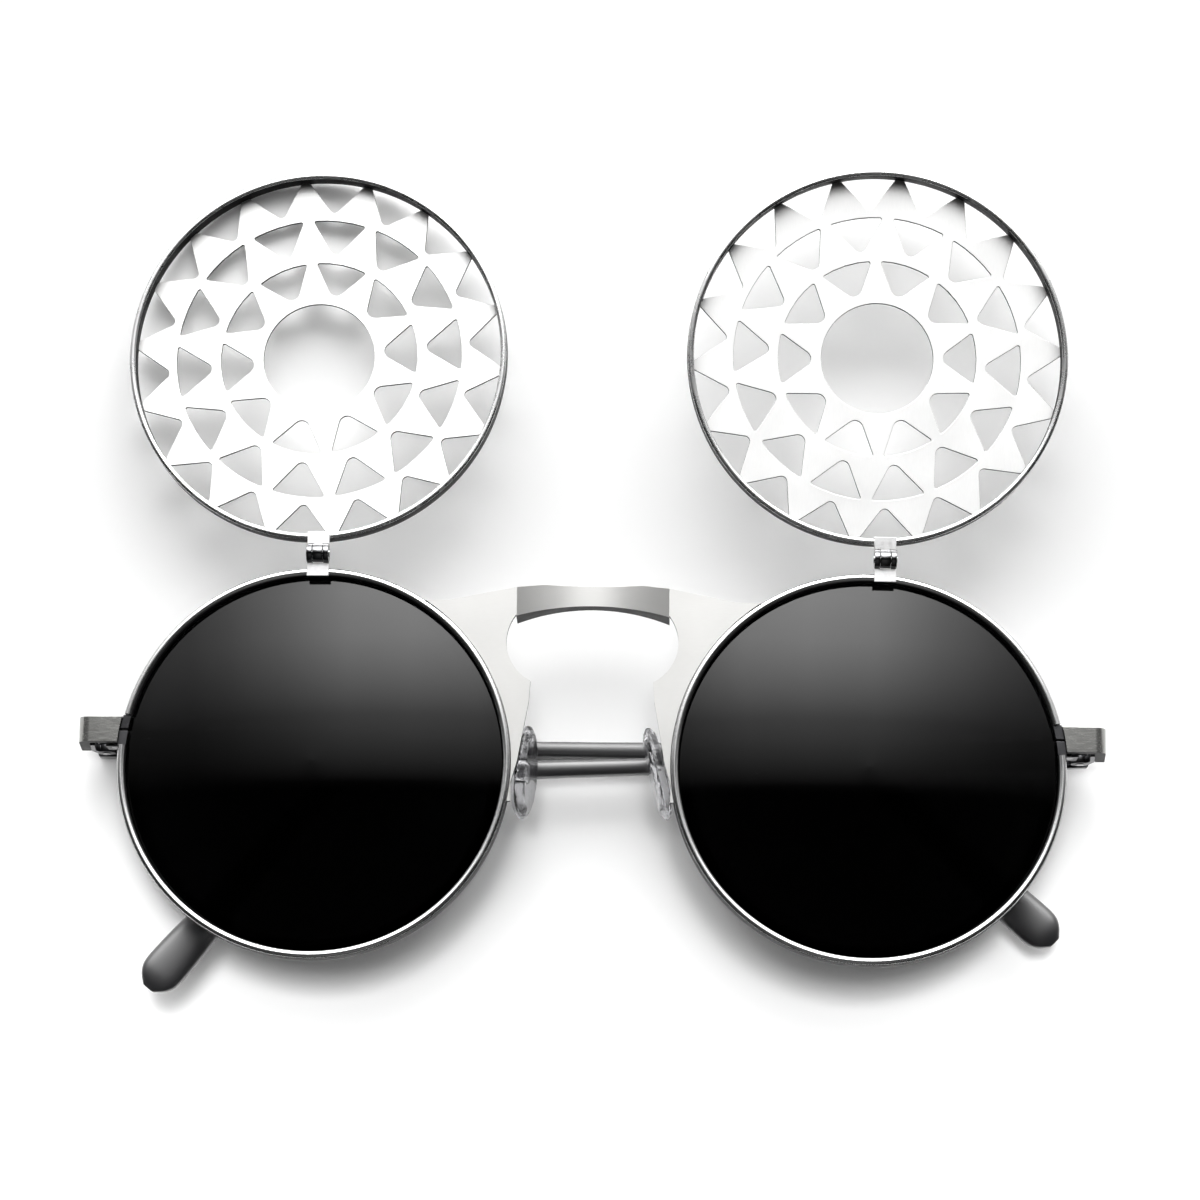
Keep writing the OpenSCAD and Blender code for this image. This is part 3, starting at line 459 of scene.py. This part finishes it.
def turned(name, profile, steps, closed=False, start=0.0):
    """A piece turned about z: a circle is extruded and resized along a profile of (radius, height)."""
    deselect()
    (first_r, first_z) = profile[0]
    bpy.ops.mesh.primitive_circle_add(vertices=steps, radius=first_r * MM, fill_type="NOTHING",
                                      location=(0, 0, first_z * MM), rotation=(0, 0, start))
    piece = bpy.context.object
    piece.name = name
    bpy.ops.object.mode_set(mode="EDIT")
    bpy.ops.mesh.select_all(action="SELECT")
    path = list(profile) + ([profile[0]] if closed else [])
    if not closed:
        bpy.ops.mesh.edge_face_add()
    for (r0, z0), (r1, z1) in zip(path, path[1:]):
        bpy.ops.mesh.extrude_edges_move(TRANSFORM_OT_translate={"value": (0, 0, (z1 - z0) * MM)})
        bpy.ops.transform.resize(value=(r1 / r0, r1 / r0, 1), center_override=(0, 0, z1 * MM))
    if not closed:
        bpy.ops.mesh.edge_face_add()
    bpy.ops.mesh.select_all(action="SELECT")
    bpy.ops.mesh.remove_doubles(threshold=1e-7)
    bpy.ops.object.mode_set(mode="OBJECT")
    return piece


def merged_copy(node, name):
    """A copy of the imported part, merged to one skin, in edit mode with all of it selected."""
    deselect()
    piece = bpy.data.objects.new(name, frame["nodes"][node].data.copy())
    bpy.context.scene.collection.objects.link(piece)
    make_active(piece)
    bpy.ops.mesh.customdata_custom_splitnormals_clear()
    bpy.ops.object.mode_set(mode="EDIT")
    bpy.ops.mesh.select_all(action="SELECT")
    bpy.ops.mesh.remove_doubles(threshold=WELD)
    return piece


def soften_bend(piece):
    """Bevels the long edge of a bent strip that lies furthest out and up, as far as its facets allow."""
    flat_front = STAND.inverted()

    def reach(edge):
        a, b = (flat_front @ piece.data.vertices[k].co for k in edge.vertices)
        middle = (a + b) / 2
        return abs(middle.x) + middle.z if abs(a.y - b.y) > 2 * MM else -1
    make_active(piece)
    bpy.ops.object.mode_set(mode="EDIT")
    bpy.ops.mesh.select_mode(type="EDGE")
    bpy.ops.mesh.select_all(action="DESELECT")
    bpy.ops.object.mode_set(mode="OBJECT")
    max(piece.data.edges, key=reach).select = True
    bpy.ops.object.mode_set(mode="EDIT")
    bpy.ops.mesh.bevel(offset=END_BEND * MM, segments=10, profile=0.5, affect="EDGES", clamp_overlap=True)
    bpy.ops.mesh.select_mode(type="VERT")
    bpy.ops.object.mode_set(mode="OBJECT")


def rounded_copy(node, width, segments, sharp):
    """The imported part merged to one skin, with its edges rounded."""
    piece = merged_copy(node, node + "_rounded")
    bpy.ops.mesh.dissolve_limited(angle_limit=math.radians(0.4))
    bpy.ops.object.mode_set(mode="OBJECT")
    if kind_of(node) == "end_piece":
        soften_bend(piece)
    apply_modifier(piece, "BEVEL", width=width * MM, segments=segments, limit_method="ANGLE",
                   angle_limit=math.radians(sharp), use_clamp_overlap=True, harden_normals=False)
    smooth(piece, sharp + 5)
    apply_modifier(piece, "WEIGHTED_NORMAL", mode="FACE_AREA", weight=100, keep_sharp=True)
    return piece


# ---------------------------------------------------------------- operators

class FinishNodes(bpy.types.Operator):
    """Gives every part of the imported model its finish"""
    bl_idname = "shades.finish_nodes"
    bl_label = "Finish the packed parts"

    def execute(self, context):
        make_finishes(context.scene.shades_finish)
        for node, piece in frame["nodes"].items():
            material = FINISHES[NODE_FINISHES[kind_of(node)]]
            for slot in piece.material_slots:
                slot.material = material
            if not piece.material_slots:
                piece.data.materials.append(material)
        return {"FINISHED"}


def rim_profile(inner, outer, depth, crown):
    """Section of a rim or hoop: its rounded front, then its back up to the inner back edge."""
    middle, half = (inner + outer) / 2, (outer - inner) / 2
    front = [(middle + half * math.cos(math.radians(a)), crown * (math.sin(math.radians(a)) - 1))
             for a in range(180, -1, -15)]
    return front + arc((outer - BACK_ROUND, BACK_ROUND - depth), BACK_ROUND, 0, -90, 4) + [(inner, -depth)]


class AddRims(bpy.types.Operator):
    """Turns the two rims, with the groove for the lens and the split for the closing blocks"""
    bl_idname = "shades.add_rims"
    bl_label = "Rims"

    def execute(self, context):
        groove = [(RIM_IN, -GROOVE_Z - GROOVE_DEPTH), (RIM_IN + GROOVE_DEPTH, -GROOVE_Z),
                  (RIM_IN, GROOVE_DEPTH - GROOVE_Z)]
        profile = rim_profile(RIM_IN, RIM_IN + RIM_WALL, RIM_DEPTH, RIM_CROWN) + groove
        pitch = 2 * math.pi / RIM_STEPS
        middle = RIM_IN + RIM_WALL / 2
        low = math.asin((TEMPLE_Y - BLOCK_H / 2 - SEAT_GAP) / middle)
        high = math.asin((TEMPLE_Y + BLOCK_H / 2 + SEAT_GAP) / middle)
        first = low - math.floor(low / pitch) * pitch
        for name, side in SIDES.items():
            rim = turned("rim_wire_" + name, profile, RIM_STEPS, closed=True, start=first)
            make_active(rim)
            bpy.ops.object.transform_apply(location=True, rotation=True, scale=True)
            pick_faces(rim, lambda face: low < math.atan2(face.center.y, face.center.x) < high)
            bpy.ops.mesh.delete(type="FACE")
            bpy.ops.mesh.select_mode(type="EDGE")
            bpy.ops.mesh.select_all(action="DESELECT")
            bpy.ops.mesh.select_non_manifold(extend=False, use_wire=False, use_boundary=True,
                                             use_multi_face=False, use_non_contiguous=False, use_verts=False)
            bpy.ops.mesh.fill_holes(sides=0)
            bpy.ops.mesh.select_mode(type="VERT")
            bpy.ops.object.mode_set(mode="OBJECT")
            place = standing(side, eye_frame())
            settle(rim, place)
            smooth(rim, 50)
            seat(rim, "rim_" + name, "rim")
            # Painted shade: the walls of the rim are made near black, standing for the shadowed floor and dark
            # lens they mirror
            refinish(rim, "edge", is_wall(place, WIRE_WALL))
        return {"FINISHED"}


class AddHoops(bpy.types.Operator):
    """Turns the hoops of the two covers"""
    bl_idname = "shades.add_hoops"
    bl_label = "Cover hoops"

    def execute(self, context):
        profile = rim_profile(COVER_R - COVER_WALL, COVER_R, COVER_DEPTH, HOOP_CROWN)
        for name, side in SIDES.items():
            hoop = turned("cover_hoop_" + name, profile, RIM_STEPS, closed=True)
            place = standing(side, cover_frame(name))
            settle(hoop, place)
            smooth(hoop, 50)
            seat(hoop, "cover_rim_" + name, "hoop")
            # Painted shade: the walls of the hoop are made near black, standing for the dark they mirror
            refinish(hoop, "edge", is_wall(place, WIRE_WALL))
        return {"FINISHED"}


class AddLenses(bpy.types.Operator):
    """Turns the two domed lenses with their bevelled edges"""
    bl_idname = "shades.add_lenses"
    bl_label = "Lenses"

    def execute(self, context):
        dome_z = -LENS_FRONT - math.sqrt(DOME_R ** 2 - RIM_IN ** 2)
        brim = RIM_IN - LENS_PLAY

        def dome(radius, r):
            return (r, dome_z + math.sqrt(radius ** 2 - r ** 2))
        front = [dome(DOME_R, r) for r in LENS_RINGS + [brim - LENS_CHAMFER]]
        edge = [(brim, -LENS_FRONT - LENS_PLAY), (LENS_EDGE, -GROOVE_Z), (brim, LENS_FRONT - 2 * GROOVE_Z)]
        back = [dome(DOME_R - LENS_T, r) for r in reversed(LENS_RINGS)]
        for name, side in SIDES.items():
            lens = turned("smoke_lens_" + name, front + edge + back, LENS_STEPS)
            settle(lens, standing(side, eye_frame()))
            smooth(lens, 25)
            seat(lens, "lens_" + name, "lens")
        return {"FINISHED"}


class AddSleeves(bpy.types.Operator):
    """Smooths the two temple sleeves into one flowing skin with a softly rounded paddle"""
    bl_idname = "shades.add_sleeves"
    bl_label = "Temple sleeves"

    def execute(self, context):
        for name in SIDES:
            node = "temple_sleeve_" + name
            sleeve = merged_copy(node, "sleeve_skin_" + name)
            bpy.ops.mesh.tris_convert_to_quads(face_threshold=math.radians(60),
                                               shape_threshold=math.radians(120))
            bpy.ops.mesh.select_all(action="DESELECT")
            bpy.ops.mesh.select_mode(type="EDGE")
            bpy.ops.mesh.edges_select_sharp(sharpness=math.radians(SLEEVE_SHARP))
            bpy.ops.transform.edge_crease(value=SLEEVE_CREASE)
            bpy.ops.mesh.select_mode(type="VERT")
            bpy.ops.object.mode_set(mode="OBJECT")
            apply_modifier(sleeve, "SUBSURF", levels=2, render_levels=2)
            smooth(sleeve, 60)
            seat(sleeve, node, "sleeve")
        return {"FINISHED"}


class AddNosePads(bpy.types.Operator):
    """Softens the two clear nose pads as if moulded"""
    bl_idname = "shades.add_nose_pads"
    bl_label = "Nose pads"

    def execute(self, context):
        for name in SIDES:
            node = "nose_pad_" + name
            pad = merged_copy(node, "clear_pad_" + name)
            bpy.ops.object.mode_set(mode="OBJECT")
            apply_modifier(pad, "REMESH", mode="VOXEL", voxel_size=PAD_CELL * MM)
            apply_modifier(pad, "SMOOTH", factor=0.5, iterations=PAD_PASSES)
            apply_modifier(pad, "SUBSURF", levels=2, render_levels=2)
            make_active(pad)
            bpy.ops.object.shade_smooth()
            seat(pad, node, "pad")
        return {"FINISHED"}


def is_strip_edge(face):
    """The upper and lower cut edges of the end pieces"""
    return abs(face.normal.dot(STAND.to_3x3() @ Vector((0, 1, 0)))) > STRIP_EDGE


def on_strap(face):
    """The upper face of the arched strap over the nose"""
    flat_front = STAND.inverted()
    centre = flat_front @ face.center
    normal = flat_front.to_3x3() @ face.normal
    return (abs(centre.x) < STRAP_HALF * MM and centre.y > STRAP_FOOT * MM and centre.z > 0
            and normal.z > STRAP_TOP)


def round_the_pin(side):
    """Test for the faces of the knuckles, which lie round the flip pin."""
    back = (standing(side, eye_frame()) @ Matrix.Translation(Vector((0, FLIP_Y, FLIP_Z)) * MM)).inverted()

    def test(face):
        centre = back @ face.center
        return math.hypot(centre.y, centre.z) < KNUCKLE_REACH * MM
    return test


# Width of the bevel in millimetres, its segments, and the angle in degrees from which an edge is sharp
ROUNDED = {
    "bridge_plate": (0.18, 3, 30), "end_piece": (0.16, 3, 40), "flip_leaf": (0.07, 2, 40),
    "cover_leaf": (0.07, 2, 40), "block_top": (0.10, 2, 40), "block_low": (0.10, 2, 40),
    "temple_bar": (0.12, 3, 40), "front_hinge": (0.05, 2, 45), "temple_hinge": (0.05, 2, 45),
    "cover_plate": (0.12, 2, 50),
}


class RoundEdges(bpy.types.Operator):
    """Rounds the edges of the stamped and milled metal parts"""
    bl_idname = "shades.round_edges"
    bl_label = "Stamped and milled parts"

    def execute(self, context):
        for node in frame["nodes"]:
            kind = kind_of(node)
            if kind not in ROUNDED:
                continue
            piece = rounded_copy(node, *ROUNDED[kind])
            seat(piece, node, NODE_FINISHES[kind])
            side_name = "left" if node.endswith("left") else "right"
            if kind == "bridge_plate":
                # Painted shade: the cut walls of the plate are made near black, for the dark they mirror
                refinish(piece, "edge", is_wall(STAND, PLATE_WALL))
                # Painted shade: the top of the strap gets a darker copy of the plate metal
                refinish(piece, "strap", on_strap)
            elif kind == "cover_plate":
                # Painted shade: the walls of the holes are made near black, giving dark outlines that stand for
                # mirrored shade
                refinish(piece, "edge", is_wall(standing(SIDES[side_name], cover_frame(side_name)), SHEET_WALL))
            elif kind in {"flip_leaf", "cover_leaf"}:
                # Painted shade: the knuckles round the pin get a darker copy of the leaf metal
                refinish(piece, "knuckle", round_the_pin(SIDES[side_name]))
            elif kind == "end_piece":
                # Painted shade: the upper and lower edges of the end piece are made near black, for the dark
                # they mirror
                refinish(piece, "edge", is_strip_edge)
        return {"FINISHED"}


# Brightness of the band that the lenses mirror, of the bank low behind, of the even fill, and the
# power of each kicker in watts; the floor's own glow where it is seen
NEAR_LEVEL, FAR_LEVEL, FILL_LEVEL, KEY_POWER = 4.5, 7.2, 0.09, 0.026
FLOOR_GLOW = 0.02
# Where the kickers stand and where they point, in millimetres; their size and their spread
KEY_X, KEY_Y, KEY_HEIGHT, KEY_AIM = 48, -15, 250, -85
KEY_WIDTH, KEY_LENGTH, KEY_SPREAD = 60, 80, math.radians(30)


class AddStudio(bpy.types.Operator):
    """Adds the floor, the studio light and the camera"""
    bl_idname = "shades.add_studio"
    bl_label = "Floor, light and camera"

    def execute(self, context):
        studio = context.scene.shades_studio
        add_floor(studio)
        add_world(context.scene)
        add_lamps()
        add_camera(context.scene, studio)
        context.scene.view_settings.view_transform = "Standard"
        return {"FINISHED"}


def add_floor(studio):
    """A white paper floor, a little lighter where it is seen or mirrored than where it lights."""
    deselect()
    bpy.ops.mesh.primitive_plane_add(size=studio.floor_size, location=(0, 0, 0))
    floor = bpy.context.object
    floor.name = "floor"
    material, nodes, links, shader = new_material("floor_paper", Roughness=0.9)
    shader.inputs["Specular IOR Level"].default_value = 0.0
    shader.inputs["Base Color"].default_value = (*studio.floor_colour, 1)
    path = nodes.new("ShaderNodeLightPath")
    seen = math_node(nodes, links, "MAXIMUM", path.outputs["Is Camera Ray"], path.outputs["Is Glossy Ray"])
    seen = math_node(nodes, links, "MAXIMUM", seen, path.outputs["Is Transmission Ray"])
    glow = math_node(nodes, links, "MULTIPLY", seen, FLOOR_GLOW)
    shader.inputs["Emission Color"].default_value = (1, 1, 1, 1)
    links.new(glow, shader.inputs["Emission Strength"])
    floor.data.materials.append(material)


def ramp(nodes, links, value, stops):
    """A colour ramp over stops of (position, grey)."""
    node = nodes.new("ShaderNodeValToRGB")
    elements = node.color_ramp.elements
    while len(elements) < len(stops):
        elements.new(0.5)
    for element, (position, grey) in zip(elements, stops):
        element.position = position
        element.color = (grey, grey, grey, 1)
    links.new(value, node.inputs["Fac"])
    return node.outputs["Color"]


def add_world(scene):
    """Soft studio surround: a bright bank low behind the object, a softer band above it that the lenses
    mirror, and a dark surround over the camera and at the sides. It is plain white where it is seen."""
    world = bpy.data.worlds.new("studio_surround")
    scene.world = world
    world.use_nodes = True
    nodes, links = world.node_tree.nodes, world.node_tree.links
    background = nodes["Background"]
    coordinates = nodes.new("ShaderNodeTexCoord")
    split = nodes.new("ShaderNodeSeparateXYZ")
    links.new(coordinates.outputs["Generated"], split.inputs[0])
    x, y, z = split.outputs

    height = math_node(nodes, links, "MAXIMUM", z, 0.001)
    lean = math_node(nodes, links, "DIVIDE", math_node(nodes, links, "ARCTAN2", y, height), math.pi)
    along = math_node(nodes, links, "ADD", lean, 0.5)
    across = math_node(nodes, links, "ABSOLUTE", x, None)

    def at(degrees):
        return 0.5 + degrees / 180

    def aside(degrees):
        return math.sin(math.radians(degrees))
    near = ramp(nodes, links, along, [
        (at(-90), 0.0), (at(-40), 0.02), (at(-15), 0.03), (at(-4), 0.0), (at(16), 0.0), (at(20), 0.10),
        (at(24), 0.20), (at(30), 0.58), (at(33), 0.76), (at(38), 0.92), (at(42), 0.92), (at(50), 0.0)])
    taper = ramp(nodes, links, across, [
        (aside(0), 1.0), (aside(7), 0.90), (aside(14), 0.52), (aside(20), 0.28), (aside(24), 0.18),
        (aside(32), 0.15), (aside(90), 0.10)])
    far = ramp(nodes, links, along, [(at(40), 0.0), (at(46), 1.0), (at(75), 1.0), (at(90), 0.4)])
    spread = ramp(nodes, links, across, [
        (aside(0), 1.0), (aside(22), 1.0), (aside(32), 0.45), (aside(42), 0.08), (aside(60), 0.02),
        (aside(90), 0.02)])
    slope = math_node(nodes, links, "MULTIPLY", math_node(nodes, links, "MULTIPLY", near, taper), NEAR_LEVEL)
    bank = math_node(nodes, links, "MULTIPLY", math_node(nodes, links, "MULTIPLY", far, spread), FAR_LEVEL)
    mirrored = math_node(nodes, links, "ADD", slope, bank)
    path = nodes.new("ShaderNodeLightPath")
    not_glossy = math_node(nodes, links, "SUBTRACT", 1.0, path.outputs["Is Glossy Ray"])
    fill = math_node(nodes, links, "MULTIPLY", not_glossy, FILL_LEVEL)
    lit = math_node(nodes, links, "ADD", mirrored, fill)
    seen = math_node(nodes, links, "MAXIMUM", path.outputs["Is Camera Ray"], path.outputs["Is Transmission Ray"])
    links.new(mix_colour(nodes, links, seen, lit, (1, 1, 1, 1)), background.inputs["Color"])
    background.inputs["Strength"].default_value = 1.0


def add_lamps():
    """Two small gridded boxes close over the lower rims, which keep their shadow short."""
    for name, side in SIDES.items():
        lamp = bpy.data.lights.new("kicker_" + name, "AREA")
        lamp.shape, lamp.size, lamp.size_y = "RECTANGLE", KEY_WIDTH * MM, KEY_LENGTH * MM
        lamp.energy, lamp.spread = KEY_POWER, KEY_SPREAD
        key = bpy.data.objects.new("kicker_" + name, lamp)
        bpy.context.scene.collection.objects.link(key)
        key.location = Vector((side * KEY_X, KEY_Y, KEY_HEIGHT)) * MM
        aim = Vector((side * KEY_X, KEY_AIM, 0)) * MM - key.location
        key.rotation_euler = aim.to_track_quat("-Z", "Y").to_euler()
        key.visible_camera = False
        key.visible_glossy = False
        key.visible_transmission = False


# Direction from the object to the camera and the point on the optical axis, in the flat front's frame
VIEW_LEAN, VIEW_SWING, VIEW_TURN = math.radians(12.2), math.radians(-1.14), math.radians(0.86)
AXIS_POINT = Vector((0.92, 21.58, 0.0))


def add_camera(scene, studio):
    """The camera at the photograph's angle."""
    data = bpy.data.cameras.new("camera")
    data.lens, data.sensor_width, data.sensor_fit = studio.camera_lens, 36.0, "HORIZONTAL"
    data.clip_start, data.clip_end = 0.01, 20
    camera = bpy.data.objects.new("camera", data)
    scene.collection.objects.link(camera)
    back = Vector((-math.sin(VIEW_SWING) * math.cos(VIEW_LEAN), -math.sin(VIEW_LEAN),
                   math.cos(VIEW_LEAN) * math.cos(VIEW_SWING))).normalized()
    right = Vector((0, 1, 0)).cross(back).normalized()
    top = back.cross(right)
    right, top = (math.cos(VIEW_TURN) * right + math.sin(VIEW_TURN) * top,
                  math.cos(VIEW_TURN) * top - math.sin(VIEW_TURN) * right)
    place = AXIS_POINT * MM + back * studio.camera_distance
    flat = Matrix((right, top, back)).transposed().to_4x4()
    camera.matrix_world = STAND @ Matrix.Translation(place) @ flat
    scene.camera = camera


class ShadesPanel(bpy.types.Panel):
    """Lists the pieces of the sunglasses and their sizes and colours"""
    bl_idname = "VIEW3D_PT_shades"
    bl_label = "Flip up sunglasses"
    bl_space_type = "VIEW_3D"
    bl_region_type = "UI"
    bl_category = "Sunglasses"

    def draw(self, context):
        for operator in OPERATORS:
            self.layout.operator(operator.bl_idname)
        for group in (context.scene.shades_finish, context.scene.shades_studio):
            box = self.layout.box()
            for key in group.bl_rna.properties.keys():
                if key not in {"rna_type", "name"}:
                    box.prop(group, key)


OPERATORS = (FinishNodes, AddRims, AddHoops, AddLenses, AddSleeves, AddNosePads, RoundEdges, AddStudio)
CLASSES = (FinishSettings, StudioSettings) + OPERATORS + (ShadesPanel,)


def register():
    for cls in CLASSES:
        bpy.utils.register_class(cls)
    bpy.types.Scene.shades_finish = bpy.props.PointerProperty(type=FinishSettings)
    bpy.types.Scene.shades_studio = bpy.props.PointerProperty(type=StudioSettings)


def unregister():
    del bpy.types.Scene.shades_studio
    del bpy.types.Scene.shades_finish
    for cls in reversed(CLASSES):
        bpy.utils.unregister_class(cls)


def main():
    register()
    bpy.ops.shades.finish_nodes()
    bpy.ops.shades.add_rims()
    bpy.ops.shades.add_hoops()
    bpy.ops.shades.add_lenses()
    bpy.ops.shades.add_sleeves()
    bpy.ops.shades.add_nose_pads()
    bpy.ops.shades.round_edges()
    bpy.ops.shades.add_studio()


if __name__ == "__main__":
    main()
